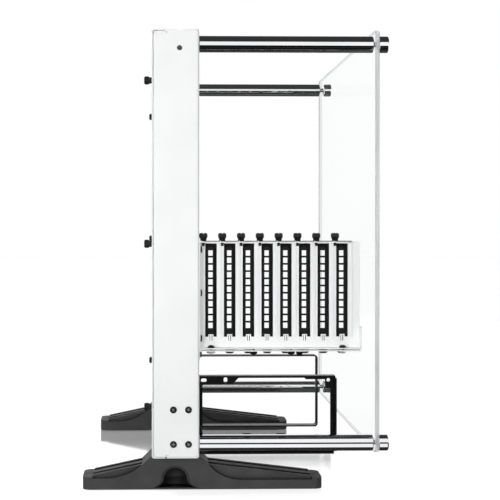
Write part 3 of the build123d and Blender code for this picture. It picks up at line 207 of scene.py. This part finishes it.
def spread(tree, factor, low, high):
    """The middle of a noise spread over low to high."""
    return remap(tree, factor, 0.3, 0.7, low, high)


def ramp(tree, value, start, end):
    """Smooth rise from 0 at start to 1 at end."""
    return remap(tree, value, start, end, smooth=True)


def tint(tree, factor, dark, light):
    """Colour between dark and light by factor; each is a colour or a colour output of the tree."""
    node = tree.nodes.new("ShaderNodeMix")
    node.data_type = "RGBA"
    ends = [s for s in node.inputs if s.type == "RGBA"]
    for socket, colour in zip(ends, (dark, light)):
        if isinstance(colour, tuple):
            socket.default_value = (*colour, 1.0)
        else:
            link(tree, colour, socket)
    link(tree, factor, node.inputs["Factor"])
    return [s for s in node.outputs if s.type == "RGBA"][0]


def bump(tree, height, strength, depth, under=None):
    """Bump of depth metres; under is another normal that it lies on."""
    node = tree.nodes.new("ShaderNodeBump")
    node.inputs["Strength"].default_value = strength
    node.inputs["Distance"].default_value = depth
    link(tree, height, node.inputs["Height"])
    if under is not None:
        link(tree, under, node.inputs["Normal"])
    return node.outputs["Normal"]


def soft_edge(tree, radius):
    """Normal that rounds sharp edges."""
    node = tree.nodes.new("ShaderNodeBevel")
    node.samples = 4
    node.inputs["Radius"].default_value = radius
    return node.outputs["Normal"]


def recess_shade(tree, reach):
    """Mask for painted shade: 0 in narrow recesses and 1 on open faces; reach is how far apart the
    walls may be.
    """
    node = tree.nodes.new("ShaderNodeAmbientOcclusion")
    node.samples = 4
    node.only_local = True
    node.inputs["Distance"].default_value = reach
    return ramp(tree, node.outputs["AO"], 0.50, 0.98)


def see_through(tree, shader, colour, share):
    """Mixes the shader into clear sheet of the given colour; share is a number or an output."""
    output = [n for n in tree.nodes if n.type == "OUTPUT_MATERIAL"][0]
    clear = tree.nodes.new("ShaderNodeBsdfTransparent")
    clear.inputs["Color"].default_value = (*colour, 1.0)
    mix = tree.nodes.new("ShaderNodeMixShader")
    if isinstance(share, float):
        mix.inputs["Fac"].default_value = share
    else:
        link(tree, share, mix.inputs["Fac"])
    link(tree, clear.outputs["BSDF"], mix.inputs[1])
    link(tree, shader.outputs["BSDF"], mix.inputs[2])
    link(tree, mix.outputs["Shader"], output.inputs["Surface"])


def surface(
    name, dark, light, patch, rough, grain, relief, metal=0.0, edge=0.0, sheen=0.5, painted_shade_reach=0.0
):
    """Solid finish: colour and roughness drift over patches, with a fine grain in relief.

    dark and light are the ends of the colour drift and patch is its size; rough is the range of
    roughness; grain is the size of the relief and relief its depth; edge is the radius of the
    edges; sheen is the strength of the mirrored light; the last argument is how far painted
    shade reaches into narrow recesses, darkening them where shade falls. Lengths are in metres."""
    material, tree, shader, where = shaded_material(name)
    drift = noise(tree, where, patch, detail=4.0)
    colour = tint(tree, spread(tree, drift, 0.0, 1.0), dark, light)
    # Painted shade: narrow recesses are darkened towards near-black, where shade falls
    if painted_shade_reach:
        colour = tint(tree, recess_shade(tree, painted_shade_reach), PAINTED_SHADE, colour)
    link(tree, colour, shader.inputs["Base Color"])
    wipe = noise(tree, where, patch * 0.37, detail=5.0)
    link(tree, spread(tree, wipe, *rough), shader.inputs["Roughness"])
    shader.inputs["Metallic"].default_value = metal
    shader.inputs["Specular IOR Level"].default_value = sheen
    under = soft_edge(tree, edge) if edge else None
    fine = noise(tree, where, grain, detail=2.0)
    link(tree, bump(tree, fine, 0.6, relief, under), shader.inputs["Normal"])
    return material


def clear_sheet():
    """Clear acrylic face: nearly all see-through, with a faint sheen and haze."""
    material, tree, shader, where = shaded_material("clear_sheet_look")
    shader.inputs["Base Color"].default_value = (0.80, 0.82, 0.83, 1.0)
    haze = noise(tree, where, 60 * MM, detail=4.0)
    link(tree, spread(tree, haze, 0.02, 0.10), shader.inputs["Roughness"])
    see_through(tree, shader, (0.985, 0.988, 0.988), 0.03)
    return material


def sheet_edge(name, strength, line):
    """Polished edge of the clear sheet: pale grey, partly see-through, clear beyond X = line."""
    material, tree, shader, where = shaded_material(name)
    streak = noise(tree, mapped(tree, where, Scale=(1.0, 1.0, 0.05)), 3 * MM, detail=3.0)
    colour = tint(tree, spread(tree, streak, 0.0, 1.0), (0.40, 0.41, 0.42), (0.56, 0.57, 0.58))
    link(tree, colour, shader.inputs["Base Color"])
    link(tree, spread(tree, streak, 0.10, 0.25), shader.inputs["Roughness"])
    cover = remap(tree, axis(tree, where, "X"), line, line + 0.4 * MM, strength, 0.02)
    see_through(tree, shader, (0.80, 0.81, 0.82), cover)
    return material


def circuit_board():
    """Dark green solder mask with faint copper runs."""
    material, tree, shader, where = shaded_material("circuit_board_look")
    runs = tree.nodes.new("ShaderNodeTexBrick")
    runs.inputs["Scale"].default_value = 1.0 / (9 * MM)
    runs.inputs["Mortar Size"].default_value = 0.03
    runs.inputs["Color1"].default_value = (0.010, 0.050, 0.022, 1.0)
    runs.inputs["Color2"].default_value = (0.012, 0.060, 0.026, 1.0)
    runs.inputs["Mortar"].default_value = (0.030, 0.120, 0.050, 1.0)
    link(tree, mapped(tree, where, Rotation=(pi / 2, 0.0, 0.0)), runs.inputs["Vector"])
    link(tree, runs.outputs["Color"], shader.inputs["Base Color"])
    link(tree, spread(tree, noise(tree, where, 3 * MM), 0.25, 0.4), shader.inputs["Roughness"])
    link(tree, bump(tree, runs.outputs["Fac"], 0.4, 0.03 * MM), shader.inputs["Normal"])
    return material


def polished_chrome():
    """Bright plating with faint wipe marks along the post."""
    material, tree, shader, where = shaded_material("chrome_look")
    drift = noise(tree, where, 40 * MM, detail=3.0)
    colour = tint(tree, spread(tree, drift, 0.0, 1.0), (0.86, 0.87, 0.88), (0.92, 0.92, 0.93))
    link(tree, colour, shader.inputs["Base Color"])
    shader.inputs["Metallic"].default_value = 1.0
    wipe = noise(tree, mapped(tree, where, Scale=(0.08, 1.0, 1.0)), 1.2 * MM, detail=4.0)
    link(tree, spread(tree, wipe, 0.02, 0.06), shader.inputs["Roughness"])
    link(tree, bump(tree, wipe, 0.15, 0.004 * MM), shader.inputs["Normal"])
    return material


looks = {
    "white_paint": surface(
        "white_paint_look",
        dark=(0.765, 0.770, 0.775), light=(0.800, 0.802, 0.805), patch=45 * MM,
        rough=(0.36, 0.48), grain=0.9 * MM, relief=0.03 * MM, edge=0.5 * MM,
    ),
    "black_paint": surface(
        "black_paint_look",
        dark=(0.003, 0.003, 0.0032), light=(0.006, 0.006, 0.0065), patch=25 * MM,
        rough=(0.26, 0.38), grain=0.7 * MM, relief=0.04 * MM, edge=0.5 * MM, sheen=0.2,
    ),
    "chrome": polished_chrome(),
    "clear_sheet": clear_sheet(),
    "black_plastic": surface(
        "black_plastic_look",
        dark=(0.045, 0.045, 0.046), light=(0.060, 0.060, 0.061), patch=30 * MM,
        rough=(0.50, 0.66), grain=0.8 * MM, relief=0.08 * MM, edge=0.6 * MM, sheen=0.1,
        # painted shade darkens the grooves and hollows of the feet
        painted_shade_reach=16 * MM,
    ),
    "button": surface(
        "button_look",
        dark=(0.085, 0.085, 0.087), light=(0.115, 0.115, 0.118), patch=8 * MM,
        rough=(0.22, 0.34), grain=0.4 * MM, relief=0.01 * MM, edge=0.3 * MM, sheen=0.4,
    ),
    "rubber": surface(
        "rubber_look",
        dark=(0.010, 0.010, 0.010), light=(0.022, 0.022, 0.021), patch=12 * MM,
        rough=(0.75, 0.9), grain=0.6 * MM, relief=0.1 * MM,
    ),
    "black_screw": surface(
        "black_screw_look",
        dark=(0.004, 0.004, 0.0045), light=(0.010, 0.010, 0.011), patch=3 * MM,
        rough=(0.26, 0.42), grain=0.3 * MM, relief=0.02 * MM, edge=0.2 * MM, sheen=0.3,
    ),
    # Lighter grey for the floor of the cross recesses: partly bare-metal wear, partly painted
    # highlight
    "wear_and_highlight_screw": surface(
        "worn_screw_look",
        dark=(0.16, 0.16, 0.165), light=(0.30, 0.30, 0.30), patch=1 * MM,
        rough=(0.3, 0.5), grain=0.2 * MM, relief=0.02 * MM, metal=0.3,
    ),
    "zinc": surface(
        "zinc_look",
        dark=(0.58, 0.59, 0.60), light=(0.72, 0.72, 0.70), patch=6 * MM,
        rough=(0.24, 0.42), grain=0.4 * MM, relief=0.02 * MM, metal=1.0,
    ),
    "near_edge": sheet_edge("near_edge_look", strength=0.70, line=155.3 * MM),
    "other_edge": sheet_edge("other_edge_look", strength=0.60, line=151.5 * MM),
    "circuit_board": circuit_board(),
    "nylon": surface(
        "nylon_look",
        dark=(0.74, 0.74, 0.72), light=(0.84, 0.84, 0.82), patch=5 * MM,
        rough=(0.4, 0.55), grain=0.4 * MM, relief=0.02 * MM,
    ),
}


def dress_nodes():
    """Gives every CAD node the look of its material slot; the buttons are smoother than others."""
    for name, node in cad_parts.items():
        for slot in node.material_slots:
            slot.material = looks["button" if name in BUTTONS else slot.material.name]


def lathe(name, profile, steps):
    """Turned mesh about Z from (radius, height, flute) rows; a flute cuts every second step in."""
    bm = bmesh.new()
    rings = []
    for radius, height, flute in profile:
        ring = []
        for i in range(steps):
            reach = radius - flute * (i % 2)
            angle = 2 * pi * i / steps
            ring.append(bm.verts.new((reach * cos(angle), reach * sin(angle), height)))
        rings.append(ring)
    for low, high in zip(rings, rings[1:]):
        for i in range(steps):
            j = (i + 1) % steps
            bm.faces.new((low[i], low[j], high[j], high[i]))
    bm.faces.new(list(reversed(rings[0])))
    bm.faces.new(rings[-1])
    mesh = bpy.data.meshes.new(name)
    bm.to_mesh(mesh)
    bm.free()
    return mesh


def blocks(name, sizes):
    """Boxes of the given sizes, all centred on the origin, as one mesh."""
    bm = bmesh.new()
    for size in sizes:
        bmesh.ops.create_cube(bm, size=1.0, matrix=Matrix.Diagonal((*size, 1.0)))
    mesh = bpy.data.meshes.new(name)
    bm.to_mesh(mesh)
    bm.free()
    return mesh


def cut(mesh, tool, height):
    """The mesh with the tool, raised to height, taken out of it."""
    body = bpy.data.objects.new("cut_body", mesh)
    cutter = bpy.data.objects.new("cut_tool", tool)
    cutter.matrix_world = Matrix.Translation((0.0, 0.0, height))
    for obj in (body, cutter):
        bpy.context.scene.collection.objects.link(obj)
    step = body.modifiers.new("cut", "BOOLEAN")
    step.operation = "DIFFERENCE"
    step.solver = "EXACT"
    step.use_self = True
    step.object = cutter
    graph = bpy.context.evaluated_depsgraph_get()
    result = bpy.data.meshes.new_from_object(body.evaluated_get(graph))
    for obj in (body, cutter):
        bpy.data.objects.remove(obj)
    return result


def stand_in(name, mesh, node):
    """Sets the mesh in the scene as a piece of the bench that stands for the named node."""
    piece = bpy.data.objects.new(name, mesh)
    bpy.context.scene.collection.objects.link(piece)
    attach(piece, "bench")
    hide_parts(node)


def set_out(name, mesh, places, finishes, node):
    """One piece made of a copy of the mesh at each place; it stands for the named node."""
    bm = bmesh.new()
    for place in places:
        known = len(bm.verts)
        bm.from_mesh(mesh)
        bm.verts.ensure_lookup_table()
        bmesh.ops.transform(bm, matrix=place, verts=bm.verts[known:])
    for face in bm.faces:
        face.smooth = True
    for edge in bm.edges:
        edge.smooth = len(edge.link_faces) == 2 and edge.calc_face_angle(0.0) < SMOOTH_ANGLE
    result = bpy.data.meshes.new(name)
    bm.to_mesh(result)
    bm.free()
    for finish in finishes:
        result.materials.append(looks[finish])
    stand_in(name, result, node)


def thumbscrew(shank, drop=0.0):
    """Fluted, slotted thumbscrew seated on Z = 0 with its head up; drop shortens the collar."""
    head = [
        (THUMB_COLLAR, THUMB_COLLAR_TOP, 0.0),
        (THUMB_HEAD - THUMB_FLUTE, THUMB_CONE_TOP, 0.0),
        (THUMB_HEAD, THUMB_FLUTE_LOW, THUMB_FLUTE),
        (THUMB_HEAD, THUMB_TOP - THUMB_BEVEL, THUMB_FLUTE),
    ]
    for inwards, down in THUMB_ROUND:
        head.append((THUMB_HEAD - inwards * THUMB_BEVEL, THUMB_TOP - down * THUMB_BEVEL, 0.0))
    profile = [(THUMB_SHANK, -shank, 0.0), (THUMB_SHANK, 0.0, 0.0), (THUMB_COLLAR, 0.0, 0.0)]
    profile += [(radius, height - drop, flute) for radius, height, flute in head]
    turned = lathe("thumb_turned", profile, 2 * THUMB_TEETH)
    width, depth = THUMB_SLOT
    tool = blocks("thumb_slot", [(width, 4 * THUMB_HEAD, 2 * depth)])
    return cut(turned, tool, THUMB_TOP - drop)


def cross_screw(size, shank):
    """Round-headed screw with a cross recess, seated on Z = 0 with its head up; the recess floor
    is lighter grey, partly wear and partly painted highlight.
    """
    head, height, crown, shank_radius = size
    dome = (head**2 + crown**2) / (2 * crown)
    profile = [(shank_radius, -shank, 0.0), (shank_radius, 0.0, 0.0), (head, 0.0, 0.0)]
    for ring in DOME_RINGS:
        radius = head * ring
        profile.append((radius, height - dome + sqrt(dome**2 - radius**2), 0.0))
    turned = lathe("cross_turned", profile, SCREW_STEPS)
    width, length, depth = CROSS[0] * head, CROSS[1] * head, CROSS[2] * height
    tool = blocks("cross_recess", [(width, length, 2 * depth), (length, width, 2 * depth)])
    mesh = cut(turned, tool, height)
    # The recess floor takes the lighter grey: partly wear, partly painted highlight
    low, high = height - 1.1 * depth, height - 0.3 * depth
    for face in mesh.polygons:
        if low < face.center.z < high and face.center.xy.length < length / 2:
            face.material_index = 1
    return mesh


def seat(x, y, z, facing, turn=0.0):
    """Place of a screw whose head points along facing."""
    aim = Vector(facing).to_track_quat("Z", "Y").to_matrix().to_4x4()
    return Matrix.Translation((x, y, z)) @ aim @ Matrix.Rotation(turn, 4, "Z")


def make_screws():
    """Thumbscrews and cross-head screws of the bench, each set in place of its plain CAD node.

    Each recess is turned by an angle of its own, so that no two line up."""
    slot_places = [
        seat(SLOT_SCREW_FIRST + k * SLOT_PITCH, SLOT_SCREW_Y, SLOT_SCREW_SEAT, (0, 0, 1))
        for k in range(SLOT_COUNT)
    ]
    rear_places = [
        seat(COVER_SCREW_SEAT, y, z, (-1, 0, 0), radians(40 + 35 * k))
        for k, z in enumerate(COVER_SCREW_Z)
        for y in COVER_SCREW_Y
    ]
    knob_places = [seat(*STRAP_SCREW, (0, 0, 1), radians(20))]
    foot_places = [
        seat(x, side * FOOT_SCREW_Y, z, (0, side, 0), radians(25 * (i + 2 * j)))
        for side in (-1, 1)
        for i, x in enumerate(FOOT_SCREW_X)
        for j, z in enumerate(FOOT_SCREW_Z)
    ]
    holder_places = [
        seat(HOLDER_SCREW_SEAT, y, z, (1, 0, 0), z / MM) for y, z in HOLDER_SCREWS
    ]
    frame_places = [seat(FRAME_SCREW_SEAT, y, z, (1, 0, 0), z / MM) for y, z in FRAME_SCREWS]
    strap_places = [
        seat(FRAME_SCREW_SEAT, *STRAP_FACE_SCREW, (1, 0, 0), radians(12)),
        seat(*STRAP_LOW_SCREW, (0, 0, -1), radians(50)),
    ]
    lock_places = [
        seat(x, SLOT_SCREW_Y, LOCK_SCREW_SEAT, (0, 0, 1), x / MM) for x in LOCK_SCREW_X
    ]
    shelf_places = [
        seat(x, SLOT_SCREW_Y, SHELF_SCREW_SEAT, (0, 0, -1), x / MM) for x in SHELF_SCREW_X
    ]
    slot_knob = thumbscrew(SLOT_SHANK)
    rear_knob = thumbscrew(COVER_SHANK)
    strap_knob = thumbscrew(STRAP_KNOB_SHANK, STRAP_KNOB_DROP)
    foot_screw = cross_screw(PAN_SCREW, FOOT_SHANK)
    holder_screw = cross_screw(SMALL_SCREW, HOLDER_SHANK)
    frame_screw = cross_screw(SMALL_SCREW, FRAME_SHANK)
    lock_screw = cross_screw(LOCK_SCREW, LOCK_SHANK)
    shelf_screw = cross_screw(DOME_SCREW, SHELF_SHANK)
    rows = (
        ("slot_thumbscrew_heads", "slot_thumbscrews", slot_knob, slot_places),
        ("rear_thumbscrew_heads", "rear_cover_thumbscrews", rear_knob, rear_places),
        ("strap_thumbscrew_head", "psu_strap_thumbscrew", strap_knob, knob_places),
        ("foot_screw_heads", "foot_screws", foot_screw, foot_places),
        ("holder_screw_heads", "slot_holder_screws", holder_screw, holder_places),
        ("frame_screw_heads", "psu_frame_screws", frame_screw, frame_places),
        ("strap_screw_heads", "psu_strap_screws", frame_screw, strap_places),
        ("lock_screw_heads", "slot_lock_screws", lock_screw, lock_places),
        ("shelf_screw_heads", "slot_shelf_screws", shelf_screw, shelf_places),
    )
    for name, node, mesh, places in rows:
        set_out(name, mesh, places, ("black_screw", "wear_and_highlight_screw"), node)


def make_panel():
    """Clear panel: bright faces, a greyer polished edge near the slots and faint other edges."""
    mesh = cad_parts["clear_panel"].data.copy()
    mesh.materials.clear()
    for look in ("clear_sheet", "near_edge", "other_edge"):
        mesh.materials.append(looks[look])
    for face in mesh.polygons:
        if abs(face.normal.x) < 0.9:
            face.material_index = 1 if face.normal.y < -0.9 else 2
    stand_in("panel_sheet", mesh, "clear_panel")


def glow(name, low, high):
    """Plain light-giving material for studio cards: it changes from low to high along Y."""
    material, tree, finish, where = bare_material(name)
    light = tree.nodes.new("ShaderNodeEmission")
    light.inputs["Strength"].default_value = 1.0
    fade = remap(tree, axis(tree, where, "Y"), *CARD_FADE)
    link(tree, tint(tree, fade, low, high), light.inputs["Color"])
    link(tree, light.outputs["Emission"], finish)
    return material


def floor_material():
    """Pale studio floor: matt from above, and mirror-like behind the object in a low view."""
    material, tree, finish, where = bare_material("stage_floor")
    matt = tree.nodes.new("ShaderNodeBsdfDiffuse")
    matt.inputs["Color"].default_value = (0.30, 0.30, 0.30, 1.0)
    lift = tree.nodes.new("ShaderNodeEmission")
    lift.inputs["Strength"].default_value = 0.97
    pale = tree.nodes.new("ShaderNodeAddShader")
    link(tree, matt.outputs["BSDF"], pale.inputs[0])
    link(tree, lift.outputs["Emission"], pale.inputs[1])
    mirror = tree.nodes.new("ShaderNodeBsdfGlossy")
    mirror.inputs["Color"].default_value = (1.0, 1.0, 1.0, 1.0)
    mirror.inputs["Roughness"].default_value = 0.08
    fade = remap(tree, axis(tree, where, "Y"), *MIRROR_FADE, *MIRROR_SHARE, smooth=True)
    slant = tree.nodes.new("ShaderNodeLayerWeight")
    slant.inputs["Blend"].default_value = 0.5
    share = tree.nodes.new("ShaderNodeMath")
    share.operation = "MULTIPLY"
    link(tree, fade, share.inputs[0])
    link(tree, ramp(tree, slant.outputs["Facing"], *MIRROR_SLANT), share.inputs[1])
    mix = tree.nodes.new("ShaderNodeMixShader")
    link(tree, share.outputs["Value"], mix.inputs["Fac"])
    link(tree, pale.outputs["Shader"], mix.inputs[1])
    link(tree, mirror.outputs["BSDF"], mix.inputs[2])
    link(tree, mix.outputs["Shader"], finish)
    return material


def stage_card(name, ends, material):
    """Flat stage card between its ends along X, Y and Z."""
    (left, right), (front, back), (low, high) = ends
    mesh = bpy.data.meshes.new(name)
    corners = [(left, front, low), (right, front, low), (right, back, high), (left, back, high)]
    mesh.from_pydata(corners, [], [(0, 1, 2, 3)])
    mesh.materials.append(material)
    obj = bpy.data.objects.new(name, mesh)
    bpy.context.scene.collection.objects.link(obj)
    return obj


def mirrored_card(name, ends, material):
    """Stage card that only mirroring surfaces see."""
    obj = stage_card(name, ends, material)
    obj.visible_camera = False
    obj.visible_diffuse = False
    obj.visible_transmission = False
    obj.visible_shadow = False
    obj.visible_volume_scatter = False


def lamp(name, place, aim, size, energy):
    """Soft lamp that no surface mirrors."""
    data = bpy.data.lights.new(name, "AREA")
    data.shape = "RECTANGLE"
    data.size, data.size_y = size
    data.energy = energy
    obj = bpy.data.objects.new(name, data)
    obj.location = place
    obj.rotation_euler = (Vector(aim) - Vector(place)).to_track_quat("-Z", "Y").to_euler()
    obj.visible_glossy = False
    bpy.context.scene.collection.objects.link(obj)


def make_world():
    """White surroundings for the eye and for mirroring surfaces, and dim light from each side."""
    world = bpy.data.worlds.new("stage_world")
    bpy.context.scene.world = world
    world.use_nodes = True
    tree = world.node_tree
    sky = tree.nodes["Background"]
    sky.inputs["Strength"].default_value = 1.0
    aim = tree.nodes.new("ShaderNodeTexCoord").outputs["Generated"]
    sides = tint(tree, ramp(tree, axis(tree, aim, "X"), -0.6, 0.6), LEFT_LIGHT, RIGHT_LIGHT)
    behind = ramp(tree, axis(tree, aim, "Y"), 0.45, 0.92)
    ahead = ramp(tree, axis(tree, aim, "Y"), -0.45, -0.92)
    around = tint(tree, ahead, tint(tree, behind, sides, BACK_LIGHT), FRONT_LIGHT)
    path = tree.nodes.new("ShaderNodeLightPath")
    mirrored = tint(tree, path.outputs["Is Glossy Ray"], around, BACKDROP)
    seen = tint(tree, path.outputs["Is Camera Ray"], mirrored, BACKDROP)
    link(tree, seen, sky.inputs["Color"])


def make_stage():
    """Surroundings, a pale floor, cards that only the plating mirrors, and three soft lamps."""
    make_world()
    floor = stage_card("stage_floor", FLOOR_ENDS, floor_material())
    floor.visible_glossy = False
    floor.visible_diffuse = False

    dark = glow("card_dark", (0.030, 0.030, 0.031), (0.045, 0.045, 0.046))
    ground = glow("card_ground", (0.004, 0.004, 0.004), (0.06, 0.06, 0.06))
    light = glow("card_light", (1.0, 1.0, 1.0), (1.0, 1.0, 1.0))
    mirrored_card("card_ceiling", CEILING_ENDS, dark)
    mirrored_card("card_ground", GROUND_ENDS, ground)
    mirrored_card("card_front_dark", FRONT_DARK_ENDS, dark)
    mirrored_card("card_front_light", FRONT_LIGHT_ENDS, light)
    mirrored_card("card_low_light", LOW_LIGHT_ENDS, light)

    for row in LAMPS:
        lamp(*row)


def make_camera():
    """Camera at the photograph's viewing angle."""
    data = bpy.data.cameras.new("main_camera")
    data.sensor_width = CAMERA_SENSOR
    data.lens = CAMERA_LENS
    data.shift_x, data.shift_y = CAMERA_SHIFT
    data.clip_start = 10 * MM
    camera = bpy.data.objects.new("main_camera", data)
    camera.location = CAMERA_PLACE
    camera.rotation_euler = CAMERA_TURN
    bpy.context.scene.collection.objects.link(camera)
    bpy.context.scene.camera = camera
    bpy.context.scene.view_settings.view_transform = "Standard"


make_camera()
dress_nodes()
make_screws()
make_panel()
make_stage()
